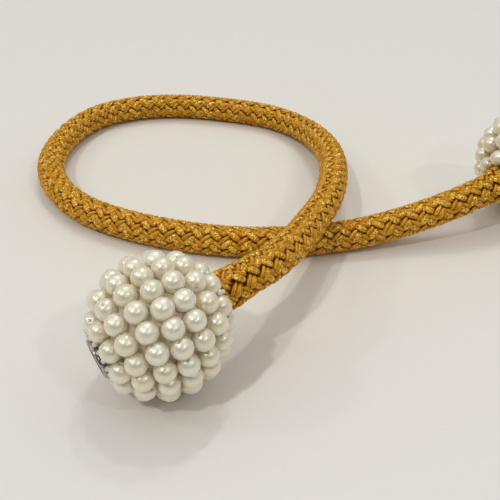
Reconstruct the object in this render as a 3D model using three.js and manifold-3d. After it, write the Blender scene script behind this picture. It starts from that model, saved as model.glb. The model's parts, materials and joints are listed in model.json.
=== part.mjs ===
import * as THREE from 'three';
import { mergeVertices } from 'three/addons/utils/BufferGeometryUtils.js';
import Module from 'manifold-3d';

// Magnetic curtain tieback: a braided cord with a pearl-covered ball on each end, lying in one loose loop.
// Millimetres, +Z up. The table is z = 0, and the origin lies on it midway between the two balls.

// Cord
const cordRadius = 4.7;
const cordSides = 12;
const cordSteps = 66;
const endSwell = 1.14; // width of the splayed cut end, against the cord's own width
const leadOut = 3.6; // straight stretch of the cord at each ball

// Ball
const ballHeight = 17.2; // centre above the table, low enough for a small flat spot
const coreRadius = 13.6;
const coreDetail = 2;
const pearlRadius = 2.45;
const pearlDetail = 1;
const pearlOrbit = 15.25; // pearl centres from the ball's centre

// Ends of the ball's axis
const mouthFace = 15.9; // flat seat that the cord is set on
const mouthRadius = 4.4;
const magnetSeat = 14.9;
const magnetSeatRadius = 4.2;
const magnetRadius = 4.9;
const magnetThickness = 1.2;
const magnetChamfer = 0.15;
const gap = 0.3; // between pieces that touch
const roundSides = 24;
const tableBlock = 60; // side of the block that cuts the flat spot

// Rows of pearls from the magnet's end to the cord's end, in degrees about the ball's axis.
const pearlRows = [
  { latitude: -59.5, pearls: 9, turn: 16.4 },
  { latitude: -40.2, pearls: 15, turn: 17.7 },
  { latitude: -19.8, pearls: 18, turn: 17.1 },
  { latitude: 0, pearls: 20, turn: 0 },
  { latitude: 20, pearls: 18, turn: 7.3 },
  { latitude: 41.5, pearls: 13, turn: 0.6 },
  { latitude: 62.7, pearls: 8, turn: 25 },
];

// Each ball's place on the table, and the way its axis points along its cord, in degrees.
const balls = [
  { name: 'near', x: -56.4, y: -41.2, heading: 30.4, rise: 11.4 },
  { name: 'far', x: 56.4, y: 41.2, heading: 219, rise: -8 },
];

// Centre line of the cord between the straight stretches at the balls: from the near ball over the cord's
// other end, round the loop on the table, and up to the far ball.
const loopPoints = [
  [-36.2, -28.4, 21.5],
  [-33.3, -25.3, 21.3],
  [-30.2, -21.4, 20.6],
  [-26.6, -14.8, 19.4],
  [-22.5, -6.3, 17.8],
  [-18.9, 2.6, 16.4],
  [-15.2, 11.7, 15.3],
  [-11.9, 20.4, 14.5],
  [-8.9, 32.8, 13.2],
  [-7.1, 47.4, 11.4],
  [-7, 64, 9.1],
  [-10, 80, 6.9],
  [-15.4, 92.4, 5.4],
  [-23, 101.2, 4.8],
  [-31.4, 106.6, 4.7],
  [-47.9, 112.2, 4.7],
  [-64.8, 115.2, 4.7],
  [-81.5, 113.4, 4.7],
  [-96.4, 105, 4.7],
  [-105.2, 88.8, 4.7],
  [-107.7, 67, 4.7],
  [-102.8, 49, 4.7],
  [-91.4, 33.4, 4.7],
  [-76.5, 23.4, 4.7],
  [-56.9, 15.9, 4.7],
  [-38.3, 12.4, 4.7],
  [-20.1, 12.9, 4.7],
  [-6, 15.6, 4.8],
  [4.9, 17.9, 6],
  [17.5, 20.7, 8.6],
  [30, 23.9, 12],
  [35.4, 26, 13.4],
];

const up = new THREE.Vector3(0, 0, 1);

const wasm = await Module();
wasm.setup();

const cordMaterial = new THREE.MeshStandardMaterial({ color: 0xb8862f, roughness: 0.75, metalness: 0 });
const pearlMaterial = new THREE.MeshStandardMaterial({ color: 0xf1eee6, roughness: 0.25, metalness: 0 });
const magnetMaterial = new THREE.MeshStandardMaterial({ color: 0xb9b7b4, roughness: 0.25, metalness: 1 });

// A cord that the table holds up, with level frames that keep one flat side of its section down.
// The frames grow at both ends, where the cut braid splays.
class CordRoute extends THREE.CatmullRomCurve3 {
  getPoint(t, target) {
    const point = super.getPoint(t, target);
    point.z = Math.max(point.z, cordRadius);
    return point;
  }

  computeFrenetFrames(segments) {
    const frames = { tangents: [], normals: [], binormals: [] };
    for (let i = 0; i <= segments; i += 1) {
      const swell = i === 0 || i === segments ? endSwell : 1;
      const tangent = this.getTangentAt(i / segments);
      const normal = new THREE.Vector3().crossVectors(up, tangent).normalize();
      const binormal = new THREE.Vector3().crossVectors(tangent, normal);
      frames.tangents.push(tangent);
      frames.normals.push(normal.multiplyScalar(swell));
      frames.binormals.push(binormal.multiplyScalar(swell));
    }
    return frames;
  }
}

function ballCentre(ball) {
  return new THREE.Vector3(ball.x, ball.y, ballHeight);
}

function ballAxis(ball) {
  const heading = THREE.MathUtils.degToRad(ball.heading);
  const rise = THREE.MathUtils.degToRad(ball.rise);
  return new THREE.Vector3(
    Math.cos(heading) * Math.cos(rise),
    Math.sin(heading) * Math.cos(rise),
    Math.sin(rise),
  );
}

// A ball's own frame: +Z along its axis to the cord, +X level.
function ballGroup(ball) {
  const axis = ballAxis(ball);
  const across = new THREE.Vector3().crossVectors(up, axis).normalize();
  const over = new THREE.Vector3().crossVectors(axis, across);
  const group = new THREE.Group();
  group.quaternion.setFromRotationMatrix(new THREE.Matrix4().makeBasis(across, over, axis));
  group.position.copy(ballCentre(ball));
  group.updateMatrix();
  return group;
}

function welded(geometry) {
  geometry.deleteAttribute('normal');
  geometry.deleteAttribute('uv');
  return mergeVertices(geometry);
}

function solidOf(geometry) {
  const vertProperties = new Float32Array(geometry.attributes.position.array);
  const triVerts = new Uint32Array(geometry.index.array);
  return new wasm.Manifold(new wasm.Mesh({ numProp: 3, vertProperties, triVerts }));
}

function geometryOf(solid) {
  const mesh = solid.getMesh();
  const geometry = new THREE.BufferGeometry();
  geometry.setAttribute('position', new THREE.BufferAttribute(mesh.vertProperties, 3));
  geometry.setIndex(new THREE.BufferAttribute(mesh.triVerts, 1));
  geometry.computeVertexNormals();
  return geometry;
}

// A round stub on the ball's axis, from inside the core out to its flat face.
function seatGeometry(radius, face) {
  const stub = welded(new THREE.CylinderGeometry(radius, radius, Math.abs(face), roundSides));
  return stub.rotateX(Math.PI / 2).translate(0, 0, face / 2);
}

function pearlPlaces() {
  const places = [];
  for (const row of pearlRows) {
    const latitude = THREE.MathUtils.degToRad(row.latitude);
    for (let i = 0; i < row.pearls; i += 1) {
      const longitude = THREE.MathUtils.degToRad(row.turn + (360 * i) / row.pearls);
      places.push(new THREE.Vector3(
        pearlOrbit * Math.cos(latitude) * Math.cos(longitude),
        pearlOrbit * Math.cos(latitude) * Math.sin(longitude),
        pearlOrbit * Math.sin(latitude),
      ));
    }
  }
  return places;
}

// The core with its seats and pearls, with the small flat spot on which the ball rests on the table.
function ballGeometry(group) {
  let solid = solidOf(welded(new THREE.IcosahedronGeometry(coreRadius, coreDetail)));
  solid = solid.add(solidOf(seatGeometry(mouthRadius, mouthFace)));
  solid = solid.add(solidOf(seatGeometry(magnetSeatRadius, -magnetSeat)));
  const pearl = welded(new THREE.OctahedronGeometry(pearlRadius, pearlDetail));
  const outward = new THREE.Quaternion();
  for (const place of pearlPlaces()) {
    outward.setFromUnitVectors(up, place.clone().normalize());
    solid = solid.add(solidOf(pearl.clone().applyQuaternion(outward).translate(...place)));
  }
  const table = welded(new THREE.BoxGeometry(tableBlock, tableBlock, tableBlock));
  table.translate(group.position.x, group.position.y, -tableBlock / 2);
  table.applyMatrix4(group.matrix.clone().invert());
  return geometryOf(solid.subtract(solidOf(table)));
}

function magnetGeometry() {
  const back = -(magnetSeat + gap);
  const face = back - magnetThickness;
  return new THREE.LatheGeometry([
    new THREE.Vector2(0, face),
    new THREE.Vector2(magnetRadius - magnetChamfer, face),
    new THREE.Vector2(magnetRadius, face + magnetChamfer),
    new THREE.Vector2(magnetRadius, back),
    new THREE.Vector2(0, back),
  ], roundSides).rotateX(Math.PI / 2);
}

function cordGeometry() {
  const leads = balls.map((ball) => {
    const end = ballCentre(ball).addScaledVector(ballAxis(ball), mouthFace + gap);
    return [end, end.clone().addScaledVector(ballAxis(ball), leadOut)];
  });
  const loop = loopPoints.map((point) => new THREE.Vector3(...point));
  const [near, far] = leads;
  const route = new CordRoute([...near, ...loop, ...far.reverse()], false, 'centripetal');
  const section = new THREE.Shape();
  const corner = cordRadius / Math.cos(Math.PI / cordSides);
  for (let i = 0; i < cordSides; i += 1) {
    const angle = ((i + 0.5) * 2 * Math.PI) / cordSides;
    const x = corner * Math.cos(angle);
    const y = corner * Math.sin(angle);
    if (i === 0) {
      section.moveTo(x, y);
    } else {
      section.lineTo(x, y);
    }
  }
  section.closePath();
  return new THREE.ExtrudeGeometry(section, { steps: cordSteps, bevelEnabled: false, extrudePath: route });
}

function namedMesh(name, geometry, material) {
  const mesh = new THREE.Mesh(geometry, material);
  mesh.name = name;
  return mesh;
}

const tieback = new THREE.Group();
tieback.add(namedMesh('cord', cordGeometry(), cordMaterial));
for (const ball of balls) {
  const group = ballGroup(ball);
  group.add(namedMesh(`${ball.name}_ball`, ballGeometry(group), pearlMaterial));
  group.add(namedMesh(`${ball.name}_magnet`, magnetGeometry(), magnetMaterial));
  tieback.add(group);
}

export default tieback;
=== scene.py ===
import json
import math

import bpy
import numpy as np
from mathutils import Matrix, Vector
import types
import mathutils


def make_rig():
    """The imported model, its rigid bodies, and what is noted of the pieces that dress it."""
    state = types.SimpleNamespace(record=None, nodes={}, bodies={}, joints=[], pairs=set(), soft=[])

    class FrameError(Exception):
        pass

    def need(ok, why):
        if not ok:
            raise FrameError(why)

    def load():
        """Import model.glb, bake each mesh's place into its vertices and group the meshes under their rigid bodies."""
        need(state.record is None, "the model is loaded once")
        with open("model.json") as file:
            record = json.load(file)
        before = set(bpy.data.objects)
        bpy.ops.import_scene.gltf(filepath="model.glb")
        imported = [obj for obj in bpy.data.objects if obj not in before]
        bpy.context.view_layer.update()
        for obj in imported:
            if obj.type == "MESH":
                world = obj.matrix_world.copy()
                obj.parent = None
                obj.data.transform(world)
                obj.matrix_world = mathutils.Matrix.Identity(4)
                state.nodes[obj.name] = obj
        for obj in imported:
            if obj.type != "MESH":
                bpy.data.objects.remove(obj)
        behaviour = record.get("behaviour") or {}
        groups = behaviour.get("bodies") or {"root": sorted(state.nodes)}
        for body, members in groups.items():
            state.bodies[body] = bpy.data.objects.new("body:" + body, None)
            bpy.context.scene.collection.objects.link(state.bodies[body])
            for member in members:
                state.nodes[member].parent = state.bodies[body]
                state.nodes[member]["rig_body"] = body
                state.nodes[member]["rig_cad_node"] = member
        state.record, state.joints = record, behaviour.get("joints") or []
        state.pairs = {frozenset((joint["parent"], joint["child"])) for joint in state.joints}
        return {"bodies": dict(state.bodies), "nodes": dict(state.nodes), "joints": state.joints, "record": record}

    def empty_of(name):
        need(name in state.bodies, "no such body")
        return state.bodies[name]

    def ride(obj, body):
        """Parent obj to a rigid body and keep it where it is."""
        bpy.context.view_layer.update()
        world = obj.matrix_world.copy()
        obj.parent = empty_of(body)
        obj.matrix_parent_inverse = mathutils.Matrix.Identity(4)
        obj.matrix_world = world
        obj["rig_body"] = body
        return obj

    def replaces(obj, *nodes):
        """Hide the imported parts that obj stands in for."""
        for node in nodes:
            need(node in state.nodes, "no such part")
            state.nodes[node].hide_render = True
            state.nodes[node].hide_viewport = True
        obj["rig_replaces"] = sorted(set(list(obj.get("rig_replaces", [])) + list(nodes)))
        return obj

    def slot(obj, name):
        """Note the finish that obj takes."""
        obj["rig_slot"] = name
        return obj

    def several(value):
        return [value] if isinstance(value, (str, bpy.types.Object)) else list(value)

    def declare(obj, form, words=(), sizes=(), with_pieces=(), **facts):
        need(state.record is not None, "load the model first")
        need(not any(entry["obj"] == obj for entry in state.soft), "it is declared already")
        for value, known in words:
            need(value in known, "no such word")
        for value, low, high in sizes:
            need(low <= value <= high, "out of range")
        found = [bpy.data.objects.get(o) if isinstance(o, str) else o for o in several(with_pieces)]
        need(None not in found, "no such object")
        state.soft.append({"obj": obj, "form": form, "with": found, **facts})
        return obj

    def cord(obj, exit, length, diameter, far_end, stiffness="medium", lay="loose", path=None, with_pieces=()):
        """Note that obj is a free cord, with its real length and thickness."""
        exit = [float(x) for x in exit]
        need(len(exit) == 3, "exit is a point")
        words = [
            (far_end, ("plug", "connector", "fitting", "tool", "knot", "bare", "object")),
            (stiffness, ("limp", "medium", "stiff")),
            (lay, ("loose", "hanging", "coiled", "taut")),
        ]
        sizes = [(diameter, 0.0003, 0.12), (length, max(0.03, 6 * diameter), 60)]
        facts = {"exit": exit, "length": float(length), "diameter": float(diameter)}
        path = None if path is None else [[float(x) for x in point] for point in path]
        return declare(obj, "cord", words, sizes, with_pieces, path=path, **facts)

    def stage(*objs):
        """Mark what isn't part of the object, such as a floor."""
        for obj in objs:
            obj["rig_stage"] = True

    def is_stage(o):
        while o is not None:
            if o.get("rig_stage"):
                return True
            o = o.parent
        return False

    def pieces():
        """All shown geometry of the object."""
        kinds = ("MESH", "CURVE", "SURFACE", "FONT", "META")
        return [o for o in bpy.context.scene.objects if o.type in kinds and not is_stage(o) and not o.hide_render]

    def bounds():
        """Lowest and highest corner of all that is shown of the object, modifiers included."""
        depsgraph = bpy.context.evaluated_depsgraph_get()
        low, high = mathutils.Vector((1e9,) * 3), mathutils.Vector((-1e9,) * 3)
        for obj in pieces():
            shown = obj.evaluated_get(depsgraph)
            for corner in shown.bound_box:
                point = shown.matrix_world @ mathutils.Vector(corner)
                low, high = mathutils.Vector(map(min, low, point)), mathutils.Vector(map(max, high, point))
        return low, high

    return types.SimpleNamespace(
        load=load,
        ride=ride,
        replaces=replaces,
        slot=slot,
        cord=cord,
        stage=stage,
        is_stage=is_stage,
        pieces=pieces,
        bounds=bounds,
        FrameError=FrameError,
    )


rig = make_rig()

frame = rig.load()
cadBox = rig.bounds()
scene = bpy.context.scene
bpy.ops.object.select_all(action="DESELECT")  # the frame's own nodes come in selected
draw = np.random.default_rng(11)  # one seeded source for every uneven detail
bothBalls = ("near", "far")
tableClearance = 0.00002  # height of the lowest points, pressed flat where they lie on the table
print("frame loaded:", ", ".join(sorted(frame["nodes"])))


# Small helpers for finishes

def newFinish(name):
    finish = bpy.data.materials.new(name)
    finish.use_nodes = True
    return finish, finish.node_tree, finish.node_tree.nodes["Principled BSDF"]


def fillSockets(tree, node, sockets):
    # links what another node gives, and sets any other value on the socket itself
    for key, value in sockets.items():
        if isinstance(value, bpy.types.NodeSocket):
            tree.links.new(value, node.inputs[key])
        else:
            node.inputs[key].default_value = value


def addNode(tree, kind, sockets=None, **settings):
    node = tree.nodes.new(kind)
    for key, value in settings.items():
        setattr(node, key, value)
    fillSockets(tree, node, sockets or {})
    return node


def reckon(tree, operation, first, second):
    return addNode(tree, "ShaderNodeMath", {0: first, 1: second}, operation=operation).outputs[0]


def times(tree, first, second):
    return reckon(tree, "MULTIPLY", first, second)


def between(tree, value, start, stop, low=0.0, high=1.0):
    # low where the value is at its start, high where it is at its stop
    return addNode(tree, "ShaderNodeMapRange", {0: value, 1: start, 2: stop, 3: low, 4: high}).outputs[0]


def vectorOf(tree, x, y, z):
    return addNode(tree, "ShaderNodeCombineXYZ", {0: x, 1: y, 2: z}).outputs[0]


def objectPlace(tree):
    return addNode(tree, "ShaderNodeTexCoord").outputs["Object"]


def pointFactor(tree, name):
    return addNode(tree, "ShaderNodeAttribute", attribute_name=name).outputs["Fac"]


def noise(tree, where, scale, detail, distortion=0.0):
    sockets = {"Vector": where, "Scale": scale, "Detail": detail, "Distortion": distortion}
    return addNode(tree, "ShaderNodeTexNoise", sockets).outputs[0]


def bumpy(tree, height, strength, distance):
    sockets = {"Height": height, "Strength": strength, "Distance": distance}
    return addNode(tree, "ShaderNodeBump", sockets).outputs[0]


def colourRamp(tree, factor, stops):
    ramp = addNode(tree, "ShaderNodeValToRGB", {0: factor})
    elements = ramp.color_ramp.elements
    while len(elements) < len(stops):
        elements.new(0.5)
    for element, (place, colour) in zip(elements, stops):
        element.position = place
        element.color = (*colour, 1)
    return ramp.outputs["Color"]


# Small helpers for meshes

def meshPiece(name, points, faces, finishes):
    mesh = bpy.data.meshes.new(name)
    mesh.from_pydata(points, [], faces)
    for finish in finishes:
        mesh.materials.append(finish)
    mesh.polygons.foreach_set("use_smooth", [True] * len(mesh.polygons))
    piece = bpy.data.objects.new(name, mesh)
    scene.collection.objects.link(piece)
    return piece


def pointNumbers(piece, name, numbers):
    attribute = piece.data.attributes.new(name, "FLOAT", "POINT")
    attribute.data.foreach_set("value", np.asarray(numbers, np.float32))


def newSphere(sizes):
    bpy.ops.mesh.primitive_uv_sphere_add(
        segments=sizes["segments"], ring_count=sizes["rings"], radius=sizes["radius"])
    return bpy.context.object


def selectPoints(chosen):
    # picks the points of the object being edited that pass the test
    bpy.ops.mesh.select_all(action="DESELECT")
    bpy.ops.object.mode_set(mode="OBJECT")
    mesh = bpy.context.object.data
    for point in mesh.vertices:
        point.select = chosen(point.co)
    for edge in mesh.edges:
        edge.select = all(mesh.vertices[i].select for i in edge.vertices)
    for face in mesh.polygons:
        face.select = all(mesh.vertices[i].select for i in face.vertices)
    bpy.ops.object.mode_set(mode="EDIT")


# Camera, where the photograph was taken from

cameraSetup = {
    "place": (-0.0353, -0.1696, 0.1267),
    "tilt": 55.5,  # degrees up from looking straight down
    "lens": 51.84,
    "sensor": 36.0,
    "clipStart": 0.01,
}


def addCamera():
    tilt = math.radians(cameraSetup["tilt"])
    bpy.ops.object.camera_add(location=cameraSetup["place"], rotation=(tilt, 0, 0))
    camera = bpy.context.object
    camera.data.lens = cameraSetup["lens"]
    camera.data.sensor_width = cameraSetup["sensor"]
    camera.data.clip_start = cameraSetup["clipStart"]
    scene.camera = camera


addCamera()
print("camera placed")


# Where each ball sits and the way it is turned, from the magnet faces in the record

ball = {
    "faceToCentre": 0.0164,  # magnet face to the ball's centre
    "centreToCord": 0.0162,  # ball's centre to the cord's cut end
}


def ballPlace(side):
    # the ball's centre and its own frame, with Z along the axis from the magnet to the cord
    face = next(m for m in frame["record"]["mounts"] if m["name"] == side + "_magnet_face")
    axis = -Vector(face["axis"])
    centre = Vector(face["pos_m"]) + axis * ball["faceToCentre"]
    across = Vector((0, 0, 1)).cross(axis).normalized()
    over = axis.cross(across)
    return centre, Matrix((across, over, axis)).transposed()


# Braided cord: twelve flat two-ply strands, six each way, one over and one under

cord = {
    "radius": 0.0047,
    "length": 0.452,
    "leadOut": 0.0036,  # straight stretch at each ball
    "step": 0.0005,  # between the points of the middle line
    "spare": 0.004,  # straight line past each cut end, for the frayed tips
    "swell": 0.14,  # how much wider the cut end splays
    "swellLength": 0.010,
    "coreRadius": 0.0032,
    "coreSides": 10,
    "coreStep": 0.002,
    "route": [
        (-0.0362, -0.0284, 0.0215),
        (-0.0333, -0.0253, 0.0213),
        (-0.0302, -0.0214, 0.0206),
        (-0.0266, -0.0148, 0.0194),
        (-0.0225, -0.0063, 0.0178),
        (-0.0189, 0.0026, 0.0164),
        (-0.0152, 0.0117, 0.0153),
        (-0.0119, 0.0204, 0.0145),
        (-0.0089, 0.0328, 0.0132),
        (-0.0071, 0.0474, 0.0114),
        (-0.0070, 0.0640, 0.0091),
        (-0.0100, 0.0800, 0.0069),
        (-0.0154, 0.0924, 0.0054),
        (-0.0230, 0.1012, 0.0048),
        (-0.0314, 0.1066, 0.0047),
        (-0.0479, 0.1122, 0.0047),
        (-0.0648, 0.1152, 0.0047),
        (-0.0815, 0.1134, 0.0047),
        (-0.0964, 0.1050, 0.0047),
        (-0.1052, 0.0888, 0.0047),
        (-0.1077, 0.0670, 0.0047),
        (-0.1028, 0.0490, 0.0047),
        (-0.0914, 0.0334, 0.0047),
        (-0.0765, 0.0234, 0.0047),
        (-0.0569, 0.0159, 0.0047),
        (-0.0383, 0.0124, 0.0047),
        (-0.0201, 0.0129, 0.0047),
        (-0.0060, 0.0156, 0.0048),
        (0.0049, 0.0179, 0.0060),
        (0.0175, 0.0207, 0.0086),
        (0.0300, 0.0239, 0.0120),
        (0.0354, 0.0260, 0.0134),
    ],
}

braid = {
    "strands": 6,  # each way
    "lay": 0.033,  # cord length for one turn of a strand
    "tightEnd": 0.36,  # how much shorter a turn is at the cut ends
    "tightLength": 0.024,
    "phase": -0.06,  # turns at the near end
    "roll": 2.0,  # degrees round the cord
    "lean": 4.0,  # degrees that a strand's top lies past the crossing, which opens rows of slits
    "samples": 46,  # rings for each turn
    "meanRadius": 0.00376,
    "wave": 0.00052,  # rise over and dip under the crossing strands
    "snap": 2.0,  # how suddenly a strand goes from over to under
    "fill": 0.97,  # a strand's width, as a share of the room between its neighbours
    "halfThick": 0.00065,
    "pinch": 0.15,  # how much narrower a strand is where it dives
    "tip": 0.0012,  # tapered length at a cut end
    "blunt": 0.5,  # what is left of the strand at the very tip
    "ragged": (0.0008, 0.0021),  # how far the cut strands stand out past the cord's end
    "deep": 0.0033,  # distances from the middle where the painted shade in the gaps is darkest and where it ends
    "outer": 0.00445,
    "smoothShare": 0.333,  # part of the way round a strand that is the smooth yarn
    # section across a strand, a smooth yarn and a wide glittering one, in half widths and half thicknesses
    "section": [
        (-1.00, -0.65), (-0.90, 0.16), (-0.62, 0.70), (-0.34, 0.42), (-0.22, -0.25), (-0.10, 0.40),
        (0.20, 0.78), (0.60, 0.70), (0.92, 0.17), (1.00, -0.65), (0.40, -0.85), (-0.40, -0.85),
    ],
}

yarn = {
    "strandsApart": 40.0,  # sets each strand's pattern apart from the others
    "filaments": 32.0,  # round a strand
    "twist": 2.6,  # filaments passed in a millimetre along the strand
    "streaks": 0.5,  # changes along a filament in a millimetre
    "patches": 0.16,  # changes between glitter and smooth in a millimetre
    "yarnsApart": 9.0,  # sets the wide yarn's patches apart from the smooth yarn's
    "wideGlitter": 0.26,  # how much more of the wide yarn glitters
    "glitterStarts": (0.58, 0.72),  # noise where it begins and is full
    "grainScale": 3000.0,
    "fleckStarts": (0.6, 0.95),  # how lit a grain has to be to flash
    "roughness": (0.48, 0.32),  # of plain yarn and of a fleck
    "metal": (0.4, 0.6),
}


def smoothRoute(points, steps=40):
    # centripetal spline through the points, with so many steps between two of them
    points = np.array(points, float)
    ends = np.vstack([2 * points[0] - points[1], points, 2 * points[-1] - points[-2]])
    t = (np.arange(steps) / steps)[:, None]
    line = []
    for a, b, c, d in zip(ends, ends[1:], ends[2:], ends[3:]):
        ab, bc, cd = (math.sqrt(np.linalg.norm(x)) for x in (b - a, c - b, d - c))
        out = bc * ((b - a) / ab - (c - a) / (ab + bc) + (c - b) / bc)
        into = bc * ((c - b) / bc - (d - b) / (bc + cd) + (d - c) / cd)
        line.append(b + out * t + (3 * (c - b) - 2 * out - into) * t**2 + (2 * (b - c) + out + into) * t**3)
    return np.vstack(line + [points[-1:]])


def evenly(line, step):
    # the same line with its points at even steps
    along = np.concatenate([[0], np.cumsum(np.linalg.norm(np.diff(line, axis=0), axis=1))])
    at = np.linspace(0, along[-1], round(along[-1] / step) + 1)
    return at, np.stack([np.interp(at, along, line[:, k]) for k in range(3)], axis=1)


def cordLine():
    leads = []
    for side in bothBalls:
        centre, turn = ballPlace(side)
        leads.append([centre + turn.col[2] * (ball["centreToCord"] + d) for d in (0, cord["leadOut"])])
    line = smoothRoute([*leads[0], *cord["route"], *reversed(leads[1])])
    line[:, 2] = np.maximum(line[:, 2], cord["radius"])
    return evenly(line, cord["step"])


def unit(vectors):
    return vectors / np.linalg.norm(vectors, axis=1)[:, None]


def levelFrames(line):
    # the level way and the upright way across the line at each point
    ahead = unit(np.gradient(line, axis=0))
    beside = unit(np.cross((0, 0, 1), ahead))
    return beside, np.cross(ahead, beside)


def inFromEnds(s, length, reach):
    # 0 at the cut ends, easing to 1 where the cord is reach away from them
    near = np.clip(np.minimum(s, length - s) / reach, 0, 1)
    return near * near * (3 - 2 * near)


def cordBody():
    # the middle line with its level frames, run on straight past both ends
    along, path = cordLine()
    spare = np.arange(1, 1 + round(cord["spare"] / cord["step"]))[:, None]
    before = path[0] + spare[::-1] * (path[0] - path[1])
    after = path[-1] + spare * (path[-1] - path[-2])
    line = np.vstack([before, path, after])
    beside, over = levelFrames(line)
    at = (np.arange(len(line)) - len(spare)) * along[1]
    lay = braid["lay"] * (1 - braid["tightEnd"] * (1 - inFromEnds(at, along[-1], braid["tightLength"])))
    turns = np.cumsum(along[1] / lay)
    turns += braid["phase"] - turns[len(spare)]
    return {"path": path, "length": along[-1], "at": at, "line": line, "beside": beside, "over": over,
            "lay": lay, "turns": turns}


def bodyAt(body, s):
    return [np.stack([np.interp(s, body["at"], body[key][:, k]) for k in range(3)], axis=1)
            for key in ("line", "beside", "over")]


def splayAt(body, s):
    return 1 + cord["swell"] * (1 - inFromEnds(s, body["length"], cord["swellLength"]))


def tubeFaces(rings, sides, first):
    # quads round a tube, then its two end faces
    i = np.arange(rings - 1)[:, None] * sides
    j = np.arange(sides)[None, :]
    k = (j + 1) % sides
    quads = np.stack([i + j, i + k, i + k + sides, i + j + sides], axis=-1).reshape(-1, 4) + first
    low = list(range(first + sides - 1, first - 1, -1))
    high = [first + (rings - 1) * sides + n for n in range(sides)]
    return quads.tolist() + [low, high]


def tubeMap(along, sides):
    # place round the tube and along it, for each corner of the tube's faces
    lap, down = np.meshgrid(np.arange(sides), np.arange(len(along) - 1))
    corners = [(lap, down), (lap + 1, down), (lap + 1, down + 1), (lap, down + 1)]
    quads = np.stack([np.stack([u / sides, along[v]], axis=-1) for u, v in corners], axis=2)
    low = [(n / sides, along[0]) for n in reversed(range(sides))]
    high = [(n / sides, along[-1]) for n in range(sides)]
    return np.vstack([quads.reshape(-1, 2), low, high])


def strandCourse(body, way, index, start, end):
    # places along the cord, the strand's angle there, and its rise from 1 over to -1 under
    first, last = np.interp((start, end), body["at"], body["turns"])
    turns = np.linspace(first, last, round((last - first) * braid["samples"]))
    angle = 2 * math.pi * (way * turns + index / braid["strands"])
    beat = np.cos(braid["strands"] * (angle + way * math.radians(braid["lean"])))
    rise = way * np.tanh(braid["snap"] * beat) / math.tanh(braid["snap"])
    return np.interp(turns, body["turns"], body["at"]), angle + math.radians(braid["roll"]), rise


def strandRoom(body, s, splay):
    # width that a strand has between its neighbours
    lay = np.interp(s, body["at"], body["lay"])
    slant = np.arctan(2 * math.pi * (braid["meanRadius"] + braid["wave"]) * splay / lay)
    return lay / braid["strands"] * np.sin(slant)


def strandRings(body, way, index):
    uneven = draw.uniform(*braid["ragged"], 2)
    start, end = -uneven[0], body["length"] + uneven[1]
    s, angle, rise = strandCourse(body, way, index, start, end)
    splay = splayAt(body, s)
    line, beside, over = bodyAt(body, s)
    out = np.cos(angle)[:, None] * beside + np.sin(angle)[:, None] * over
    middle = line + ((braid["meanRadius"] + braid["wave"] * rise) * splay)[:, None] * out
    along = unit(np.gradient(middle, axis=0))
    out = unit(out - (out * along).sum(1)[:, None] * along)
    across = np.cross(along, out)
    fromTip = np.clip(np.minimum(s - start, end - s) / braid["tip"], 0, 1)
    taper = braid["blunt"] + (1 - braid["blunt"]) * np.sqrt(fromTip)
    pinch = 1 - braid["pinch"] * (1 - np.abs(rise))
    wide = braid["fill"] / 2 * strandRoom(body, s, splay) * taper * pinch
    thick = braid["halfThick"] * taper
    section = np.array(braid["section"])
    rings = middle[:, None] + wide[:, None, None] * section[None, :, :1] * across[:, None]
    rings = rings + thick[:, None, None] * section[None, :, 1:] * out[:, None]
    # how far out each point is from the cord's middle, for the painted shade in the gaps between strands
    arm = rings - line[:, None]
    reach = np.hypot((arm * beside[:, None]).sum(2), (arm * over[:, None]).sum(2)) / splay[:, None]
    depth = np.clip((reach - braid["deep"]) / (braid["outer"] - braid["deep"]), 0, 1)
    return rings, s, depth


def coreRings(body):
    s = np.linspace(0, body["length"], round(body["length"] / cord["coreStep"]))
    line, beside, over = bodyAt(body, s)
    radius = (cord["coreRadius"] * splayAt(body, s))[:, None]
    turns = [2 * math.pi * side / cord["coreSides"] for side in range(cord["coreSides"])]
    return np.stack([line + radius * (math.cos(t) * beside + math.sin(t) * over) for t in turns], axis=1)


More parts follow.
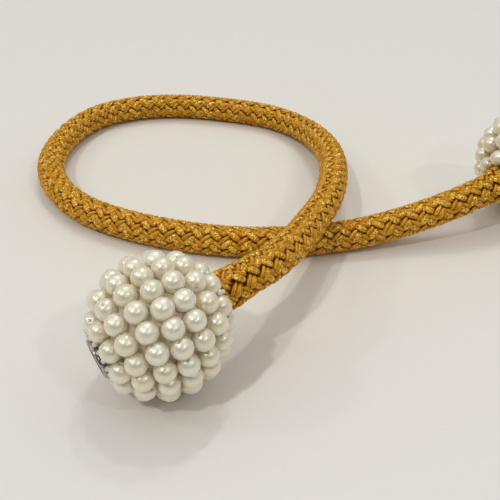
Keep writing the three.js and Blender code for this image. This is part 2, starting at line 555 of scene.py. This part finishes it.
def goldYarn():
    finish, tree, shader = newFinish("goldYarn")
    where = addNode(tree, "ShaderNodeUVMap", uv_map="strandMap").outputs[0]
    split = addNode(tree, "ShaderNodeSeparateXYZ", {0: where})
    across, along = split.outputs[0], split.outputs[1]  # round one strand, and millimetres along it
    apart = times(tree, pointFactor(tree, "strandTone"), yarn["strandsApart"])
    # filaments run along the yarn with a slight twist
    twisted = reckon(tree, "ADD", times(tree, across, yarn["filaments"]), times(tree, along, yarn["twist"]))
    drawn = vectorOf(tree, twisted, times(tree, along, yarn["streaks"]), apart)
    filament = noise(tree, drawn, scale=1.0, detail=2.0)
    # glitter covers most of the wide yarn and a few stretches of the smooth one
    wide = reckon(tree, "GREATER_THAN", across, braid["smoothShare"])
    stretch = times(tree, along, yarn["patches"])
    patch = vectorOf(tree, times(tree, wide, yarn["yarnsApart"]), stretch, apart)
    patchy = noise(tree, patch, scale=1.0, detail=1.0)
    sparkle = reckon(tree, "ADD", patchy, times(tree, wide, yarn["wideGlitter"]))
    glitter = between(tree, sparkle, *yarn["glitterStarts"])
    sockets = {"Vector": objectPlace(tree), "Scale": yarn["grainScale"]}
    grain = addNode(tree, "ShaderNodeTexVoronoi", sockets)
    lit = addNode(tree, "ShaderNodeSeparateColor", {0: grain.outputs["Color"]}).outputs[0]
    fleck = times(tree, between(tree, lit, *yarn["fleckStarts"]), glitter)
    yarnColour = colourRamp(tree, filament, [
        (0.30, (0.33, 0.130, 0.008)),
        (0.50, (0.62, 0.285, 0.021)),
        (0.68, (0.90, 0.50, 0.058)),
    ])
    grainColour = colourRamp(tree, lit, [
        (0.00, (0.33, 0.120, 0.005)),
        (0.45, (0.66, 0.30, 0.018)),
        (0.78, (1.00, 0.62, 0.080)),
        (1.00, (1.00, 0.86, 0.32)),
    ])
    colour = addNode(tree, "ShaderNodeMix", {0: glitter, 6: yarnColour, 7: grainColour}, data_type="RGBA")
    # painted shade: the yarn is darkened towards the cord's middle, where the gaps between strands fall in shade
    shade = colourRamp(tree, pointFactor(tree, "strandShadeDepth"), [
        (0.32, (0.30, 0.115, 0.03)),
        (0.66, (0.48, 0.31, 0.17)),
        (0.92, (1, 1, 1)),
    ])
    shaded = addNode(tree, "ShaderNodeMix", {0: 1.0, 6: colour.outputs[2], 7: shade}, data_type="RGBA",
                     blend_type="MULTIPLY")
    grains = times(tree, reckon(tree, "SUBTRACT", 1.0, grain.outputs["Distance"]), glitter)
    uneven = reckon(tree, "ADD", filament, grains)
    fillSockets(tree, shader, {
        "Base Color": shaded.outputs[2],
        "Roughness": between(tree, fleck, 0.0, 1.0, *yarn["roughness"]),
        "Metallic": between(tree, fleck, 0.0, 1.0, *yarn["metal"]),
        "Normal": bumpy(tree, uneven, strength=0.8, distance=0.00014),
        "Specular IOR Level": 0.25,
        "Specular Tint": (1.0, 0.72, 0.28, 1),
        "Sheen Weight": 0.08,
        "Sheen Roughness": 0.4,
        "Sheen Tint": (1.0, 0.7, 0.25, 1),
    })
    return finish


def paintedShadeFilling():
    # the braid's filling core, coloured dark brown as painted shade in the gaps between strands
    finish, tree, shader = newFinish("cordFilling")
    grain = noise(tree, objectPlace(tree), scale=1500.0, detail=2.0)
    colour = colourRamp(tree, grain, [(0.3, (0.15, 0.055, 0.006)), (0.7, (0.28, 0.115, 0.016))])
    fillSockets(tree, shader, {"Base Color": colour, "Roughness": 0.9})
    return finish


def addCord():
    body = cordBody()
    sides = len(braid["section"])
    points, faces, maps, tones, depths, fills = [], [], [], [], [], []
    first = 0
    for way in (1, -1):
        for index in range(braid["strands"]):
            rings, s, depth = strandRings(body, way, index)
            strandFaces = tubeFaces(len(rings), sides, first)
            points.append(rings.reshape(-1, 3))
            faces += strandFaces
            fills += [0] * len(strandFaces)
            maps.append(tubeMap(s * 1000, sides))  # in millimetres
            tones.append(np.full(depth.size, draw.random()))
            depths.append(depth.ravel())
            first += depth.size
    # the filling is plain, so its map, tone and depth stay at nothing
    rings = coreRings(body)
    fillingFaces = tubeFaces(len(rings), cord["coreSides"], first)
    points.append(rings.reshape(-1, 3))
    faces += fillingFaces
    fills += [1] * len(fillingFaces)
    maps.append(np.zeros((sum(len(f) for f in fillingFaces), 2)))
    tones.append(np.zeros(len(points[-1])))
    depths.append(np.zeros(len(points[-1])))
    points = np.vstack(points)
    points[:, 2] = np.maximum(points[:, 2], tableClearance)
    piece = meshPiece("cordBraid", points.tolist(), faces, [goldYarn(), paintedShadeFilling()])
    piece.data.polygons.foreach_set("material_index", fills)
    layer = piece.data.uv_layers.new(name="strandMap")
    layer.uv.foreach_set("vector", np.vstack(maps).astype(np.float32).ravel())
    pointNumbers(piece, "strandTone", np.concatenate(tones))
    pointNumbers(piece, "strandShadeDepth", np.concatenate(depths))
    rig.ride(piece, "root")
    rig.replaces(piece, "cord")
    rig.slot(piece, "cord")
    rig.cord(piece, exit=body["path"][0], length=cord["length"], diameter=2 * cord["radius"],
            far_end="object", stiffness="medium", lay="loose", path=body["path"])
    return piece


cordBraid = addCord()
print("cord braided:", len(cordBraid.data.polygons), "faces")


# Beads, drilled along Z and then set many at a time

def drilledBead(sizes):
    hole = sizes["holeRadius"]
    bead = newSphere(sizes)
    bpy.ops.object.mode_set(mode="EDIT")
    selectPoints(lambda p: math.hypot(p.x, p.y) < 0.1 * hole)  # the two poles
    bpy.ops.mesh.bevel(affect="VERTICES", offset=hole)
    selectPoints(lambda p: math.hypot(p.x, p.y) < 1.3 * hole)  # the rounds cut there
    bpy.ops.mesh.extrude_region_shrink_fatten(TRANSFORM_OT_shrink_fatten={"value": -sizes["holeDepth"]})
    bpy.ops.object.mode_set(mode="OBJECT")
    points = np.array([p.co for p in bead.data.vertices]) * (1, 1, sizes["flatten"])
    faces = [list(f.vertices) for f in bead.data.polygons]
    bpy.data.objects.remove(bead)
    return points, faces


def setBeads(name, shape, places, finish):
    # one piece of many beads, each with its own size, turn, centre and tone
    bead, beadFaces = shape
    points, faces, tones = [], [], []
    for size, turn, centre, tone in places:
        faces += [[n + len(points) * len(bead) for n in f] for f in beadFaces]
        points.append(size * bead @ np.array(turn).T + np.array(centre))
        tones.append(np.full(len(bead), tone))
    points = np.vstack(points)
    points[:, 2] = np.maximum(points[:, 2], tableClearance)
    piece = meshPiece(name, points.tolist(), faces, [finish])
    pointNumbers(piece, "beadTone", np.concatenate(tones))
    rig.ride(piece, "root")
    return piece


# Pearls, in rows about each ball's axis from the magnet's end to the cord's end

pearl = {
    "radius": 0.00264,
    "orbit": 0.01525,  # pearl centres from the ball's centre
    "segments": 20,
    "rings": 12,
    "flatten": 1.0,  # length along the hole, as a share of the width
    "holeRadius": 0.00036,
    "holeDepth": 0.0009,
    "wobble": 14,  # degrees that a drill hole leans off its row
    "stray": 0.08,  # share of the pearls that turned any way
    "strayWobble": 90,
    "spin": 6.28,  # radians about the hole, any turn
    "sizeSpread": 0.012,
    "rows": [  # latitude, pearls, turn of the first one
        (-59.5, 9, 16.4),
        (-40.2, 15, 17.7),
        (-19.8, 18, 17.1),
        (0, 20, 0),
        (20, 18, 7.3),
        (41.5, 13, 0.6),
        (62.7, 8, 25),
    ],
}


def pearlWhite():
    finish, tree, shader = newFinish("pearlWhite")
    cloud = noise(tree, objectPlace(tree), scale=330.0, detail=3.0, distortion=0.6)
    tone = pointFactor(tree, "beadTone")
    # half from the pearl's own tone and half from its clouding
    halfway = reckon(tree, "ADD", times(tree, tone, 0.5), times(tree, cloud, 0.5))
    colour = colourRamp(tree, halfway, [
        (0.15, (0.86, 0.775, 0.59)),
        (0.50, (0.90, 0.825, 0.655)),
        (0.85, (0.94, 0.88, 0.735)),
    ])
    fillSockets(tree, shader, {
        "Base Color": colour,
        "Roughness": between(tree, cloud, start=0.3, stop=0.7, low=0.29, high=0.36),
        "Normal": bumpy(tree, cloud, strength=0.05, distance=0.0001),
        "Metallic": 0.42,
        "Subsurface Weight": 1.0,
        "Subsurface Radius": (1.0, 0.85, 0.62),
        "Subsurface Scale": 0.004,
        "Coat Weight": 0.2,
        "Coat Roughness": 0.12,
        "Coat IOR": 1.5,
        "Sheen Weight": 1.0,
        "Sheen Roughness": 0.35,
        "Sheen Tint": (1.0, 0.96, 0.86, 1),
    })
    return finish


def rowPlaces():
    # each pearl's way out from the middle and the way its row runs, in the ball's own frame
    for latitude, count, turn in pearl["rows"]:
        lat = math.radians(latitude)
        for i in range(count):
            lon = math.radians(turn + 360 * i / count)
            flat = Vector((math.cos(lon), math.sin(lon), 0))
            yield flat * math.cos(lat) + Vector((0, 0, math.sin(lat))), Vector((-flat.y, flat.x, 0))


def pearlPlaces(side):
    centre, turn = ballPlace(side)
    for out, run in rowPlaces():
        wobble = pearl["strayWobble"] if draw.random() < pearl["stray"] else pearl["wobble"]
        lean = [Matrix.Rotation(math.radians(draw.normal(0, wobble)), 3, k) for k in "XYZ"]
        hole = (lean[0] @ lean[1] @ lean[2] @ run).normalized()
        spin = Matrix.Rotation(draw.uniform(0, pearl["spin"]), 3, "Z")
        pose = hole.to_track_quat("Z", "Y").to_matrix() @ spin
        size = 1 + draw.normal(0, pearl["sizeSpread"])
        yield size, turn @ pose, centre + turn @ (out * pearl["orbit"]), draw.random()


def addPearls(side, shape, finish):
    piece = setBeads(side + "Pearls", shape, pearlPlaces(side), finish)
    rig.replaces(piece, side + "_ball")
    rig.slot(piece, "pearl")
    return piece


pearlShape = drilledBead(pearl)
pearlFinish = pearlWhite()
for side in bothBalls:
    print(side, "pearls strung:", len(addPearls(side, pearlShape, pearlFinish).data.polygons), "faces")


# Core of each ball, with a raised seat for the magnet and one for the cord

core = {
    "radius": 0.0137,
    "segments": 48,
    "rings": 40,
    "magnetSeat": (-1, 0.0149, 19),  # end of the axis, seat's height, degrees from the axis to its edge
    "cordSeat": (1, 0.0159, 14),
    "smoothUnder": 40,  # degrees
}


def coreFelt():
    finish, tree, shader = newFinish("coreFelt")
    nap = noise(tree, objectPlace(tree), scale=1400.0, detail=4.0)
    fillSockets(tree, shader, {
        "Base Color": colourRamp(tree, nap, [(0.3, (0.70, 0.58, 0.40)), (0.7, (0.84, 0.74, 0.56))]),
        "Normal": bumpy(tree, nap, strength=0.5, distance=0.0002),
        "Roughness": 0.85,
        "Sheen Weight": 0.2,
    })
    return finish


def raiseSeat(end, face, angle):
    # draws one end cap of the core out along the axis to a flat seat
    cap = core["radius"] * math.cos(math.radians(angle))
    selectPoints(lambda p: end * p.z > cap)
    rise = end * (face - core["radius"])
    bpy.ops.mesh.extrude_region_move(TRANSFORM_OT_translate={"value": (0, 0, rise)})
    bpy.ops.transform.resize(value=(1, 1, 0), center_override=(0, 0, end * face))


def addCore(side, finish):
    centre, turn = ballPlace(side)
    piece = newSphere(core)
    piece.name = side + "Core"
    bpy.ops.object.mode_set(mode="EDIT")
    raiseSeat(*core["magnetSeat"])
    raiseSeat(*core["cordSeat"])
    bpy.ops.object.mode_set(mode="OBJECT")
    piece.data.transform(Matrix.Translation(centre) @ turn.to_4x4())
    piece.data.materials.append(finish)
    bpy.ops.object.shade_smooth_by_angle(angle=math.radians(core["smoothUnder"]))
    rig.ride(piece, "root")


feltFinish = coreFelt()
for side in bothBalls:
    addCore(side, feltFinish)
print("cores seated")


# Clear seed beads round each magnet and each cord mouth

seed = {
    "radius": 0.00076,
    "segments": 12,
    "rings": 8,
    "flatten": 0.86,
    "holeRadius": 0.00022,
    "holeDepth": 0.00038,
    "stray": 1.5,  # degrees round the circle
    "lean": 0.25,  # how far a hole leans out of the circle's plane
    "reachSpread": 0.0001,
    "sizes": (0.93, 1.05),
    "circles": [  # height along the ball's axis, distance from the axis, first angles, times repeated
        (-0.0152, 0.00585, (26.4, 46.4), 9),
        (0.0155, 0.0064, (47.5,), 8),
        (0.0146, 0.0077, (47.5,), 8),
    ],
}


def clearGlass():
    finish, tree, shader = newFinish("clearGlass")
    tone = pointFactor(tree, "beadTone")
    fillSockets(tree, shader, {
        "Base Color": colourRamp(tree, tone, [(0.0, (0.86, 0.81, 0.70)), (1.0, (0.97, 0.95, 0.88))]),
        "Roughness": 0.06,
        "IOR": 1.45,
        "Transmission Weight": 0.25,
        "Coat Weight": 1.0,
        "Coat Roughness": 0.05,
        "Coat IOR": 1.6,
    })
    return finish


def seedPlaces(side):
    centre, turn = ballPlace(side)
    for height, reach, angles, repeats in seed["circles"]:
        for degrees in [a + 360 * i / repeats for i in range(repeats) for a in angles]:
            angle = math.radians(degrees + draw.uniform(-seed["stray"], seed["stray"]))
            out = Vector((math.cos(angle), math.sin(angle), 0))
            hole = Vector((-out.y, out.x, draw.normal(0, seed["lean"]))).normalized()
            pose = hole.to_track_quat("Z", "Y").to_matrix()
            place = out * (reach + draw.normal(0, seed["reachSpread"])) + Vector((0, 0, height))
            yield draw.uniform(*seed["sizes"]), turn @ pose, centre + turn @ place, draw.random()


seedShape = drilledBead(seed)
glassFinish = clearGlass()
for side in bothBalls:
    setBeads(side + "SeedBeads", seedShape, seedPlaces(side), glassFinish)
print("seed beads set")


# Magnets: a bright plate with a rim and a recessed face, and a groove behind it, coloured dark as painted shade

magnet = {
    "radius": 0.0049,
    "sides": 64,
    "thickness": 0.0012,
    "plate": 0.0008,  # thickness of the outer plate, in front of the dark groove
    "groove": 0.0004,  # how far the groove goes in
    "rimWidth": 0.0007,
    "recess": 0.00018,
    "edge": 0.00016,
    "edgeSteps": 2,
    "edgeOver": 60,  # degrees, sharper corners are rounded
    "smoothUnder": 35,
}


def brightNickel():
    finish, tree, shader = newFinish("brightNickel")
    scuff = noise(tree, objectPlace(tree), scale=190.0, detail=3.0)
    fillSockets(tree, shader, {
        "Base Color": colourRamp(tree, scuff, [(0.38, (0.19, 0.165, 0.13)), (0.62, (0.50, 0.47, 0.42))]),
        "Roughness": between(tree, scuff, start=0.35, stop=0.7, low=0.14, high=0.34),
        "Metallic": 1.0,
    })
    return finish


def grooveShade():
    finish, tree, shader = newFinish("grooveShade")
    # painted shade: the groove's walls are coloured dark for the shade in the recess behind the plate, with a slight
    # mottle
    grooveMottle = noise(tree, objectPlace(tree), scale=700.0, detail=3.0)
    colour = colourRamp(tree, grooveMottle, [(0.3, (0.24, 0.20, 0.15)), (0.7, (0.40, 0.35, 0.28))])
    fillSockets(tree, shader, {"Base Color": colour, "Roughness": 0.7})
    return finish


def roundEdges(piece):
    edge = piece.modifiers.new("edge", "BEVEL")
    edge.width = magnet["edge"]
    edge.segments = magnet["edgeSteps"]
    edge.limit_method = "ANGLE"
    edge.angle_limit = math.radians(magnet["edgeOver"])
    bpy.ops.object.modifier_apply(modifier="edge")


def addMagnet(side, finishes):
    centre, turn = ballPlace(side)
    deep, face = magnet["plate"], -ball["faceToCentre"]
    middle = face + deep / 2
    bpy.ops.mesh.primitive_cylinder_add(
        vertices=magnet["sides"], radius=magnet["radius"], depth=deep, location=(0, 0, middle))
    piece = bpy.context.object
    piece.name = side + "MagnetDisc"
    bpy.ops.object.transform_apply(location=True, rotation=True, scale=True)
    bpy.ops.object.mode_set(mode="EDIT")
    selectPoints(lambda p: p.z < middle)
    bpy.ops.mesh.inset(thickness=magnet["rimWidth"], depth=0)
    bpy.ops.mesh.inset(thickness=magnet["edge"], depth=-magnet["recess"])
    selectPoints(lambda p: p.z > middle)
    bpy.ops.mesh.inset(thickness=magnet["groove"], depth=0)
    bpy.ops.mesh.extrude_region_move(TRANSFORM_OT_translate={"value": (0, 0, magnet["thickness"] - deep)})
    bpy.ops.object.mode_set(mode="OBJECT")
    roundEdges(piece)
    for finish in finishes:
        piece.data.materials.append(finish)
    # faces behind the plate take the groove's painted shade
    for part in piece.data.polygons:
        part.material_index = int(part.center.z > face + deep)
    piece.data.transform(Matrix.Translation(centre) @ turn.to_4x4())
    bpy.ops.object.shade_smooth_by_angle(angle=math.radians(magnet["smoothUnder"]))
    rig.ride(piece, "root")
    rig.replaces(piece, side + "_magnet")
    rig.slot(piece, "magnet")


magnetFinishes = [brightNickel(), grooveShade()]
for side in bothBalls:
    addMagnet(side, magnetFinishes)
print("magnets seated")


# Pale table top, soft lamps and the light of the room

stageSetup = {
    "tableSize": 40.0,
    "middle": (-0.03, 0.05, 0.0),
    "lightColour": (1.0, 0.99, 0.97),
    "overhead": 0.82,  # light from the room above
    "horizon": 0.34,  # and from low down all round
    "overheadStarts": (0.25, 0.9),  # steepness, 1 being straight up, where it begins and is full
    "frontShare": 0.14,  # what is left of both in front of the table
    "frontWay": (0.08, -0.99, 0.06),
    "frontStarts": (0.20, 0.85),  # nearness to that way, 1 being along it, where it dims and is dimmest
    "farWall": 0.56,  # what shows past the table's far edge
    "farWallTop": 0.12,  # steepness where the room has taken over
    "brightness": 10.0,
    "distance": 5.0,
    "lamps": [  # lean of the lamp from overhead in x and y, its share of the light, its width
        ("frontLeft", (-0.48, -0.53), 0.14, 0.22),
        ("frontRight", (0.74, -0.61), 0.05, 0.25),
        ("front", (0.42, -1.15), 0.025, 0.35),
        ("back", (0.16, 0.58), 0.05, 0.25),
        ("backHigh", (0.05, 0.43), 0.06, 0.25),
        ("left", (-1.2, 0.0), 0.035, 0.35),
    ],
}


def paleTable():
    # warmer in the middle, under the tieback
    finish, tree, shader = newFinish("paleTable")
    sockets = {0: objectPlace(tree), 1: stageSetup["middle"]}
    metres = addNode(tree, "ShaderNodeVectorMath", sockets, operation="DISTANCE").outputs["Value"]
    colour = colourRamp(tree, metres, [(0.06, (0.81, 0.783, 0.716)), (0.14, (0.81, 0.79, 0.765))])
    fillSockets(tree, shader, {"Base Color": colour, "Roughness": 0.6})
    return finish


def addTable():
    bpy.ops.mesh.primitive_plane_add(size=stageSetup["tableSize"])
    table = bpy.context.object
    table.name = "tableTop"
    table.data.materials.append(paleTable())
    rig.stage(table)


def addLamps():
    middle = Vector(stageSetup["middle"])
    for name, lean, share, width in stageSetup["lamps"]:
        away = Vector((*lean, 1))
        bpy.ops.object.light_add(type="AREA", location=middle + away.normalized() * stageSetup["distance"])
        lamp = bpy.context.object
        lamp.name = name
        lamp.rotation_euler = away.to_track_quat("Z", "Y").to_euler()
        lamp.data.shape = "DISK"
        lamp.data.size = width
        lamp.data.energy = share * stageSetup["brightness"] * stageSetup["distance"] ** 2 * away.length
        lamp.data.color = stageSetup["lightColour"]


def addRoom():
    world = bpy.data.worlds.new("room")
    world.use_nodes = True
    tree = world.node_tree
    way = addNode(tree, "ShaderNodeTexCoord").outputs["Generated"]
    rise = addNode(tree, "ShaderNodeSeparateXYZ", {0: way}).outputs[2]
    level = between(tree, rise, *stageSetup["overheadStarts"],
                    low=stageSetup["horizon"], high=stageSetup["overhead"])
    sockets = {0: way, 1: stageSetup["frontWay"]}
    front = addNode(tree, "ShaderNodeVectorMath", sockets, operation="DOT_PRODUCT").outputs["Value"]
    share = between(tree, front, *stageSetup["frontStarts"], low=1.0, high=stageSetup["frontShare"])
    room = times(tree, level, share)
    fillSockets(tree, tree.nodes["Background"], {
        "Color": (*stageSetup["lightColour"], 1),
        "Strength": between(tree, rise, 0.0, stageSetup["farWallTop"], stageSetup["farWall"], room),
    })
    scene.world = world
    scene.view_settings.view_transform = "Standard"


addTable()
addLamps()
addRoom()
print("table and lamps set")


sizes = {"cad": [list(c) for c in cadBox], "visual": [list(c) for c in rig.bounds()]}
with open("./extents.json", "w") as out:
    json.dump(sizes, out)
print("sizes written")
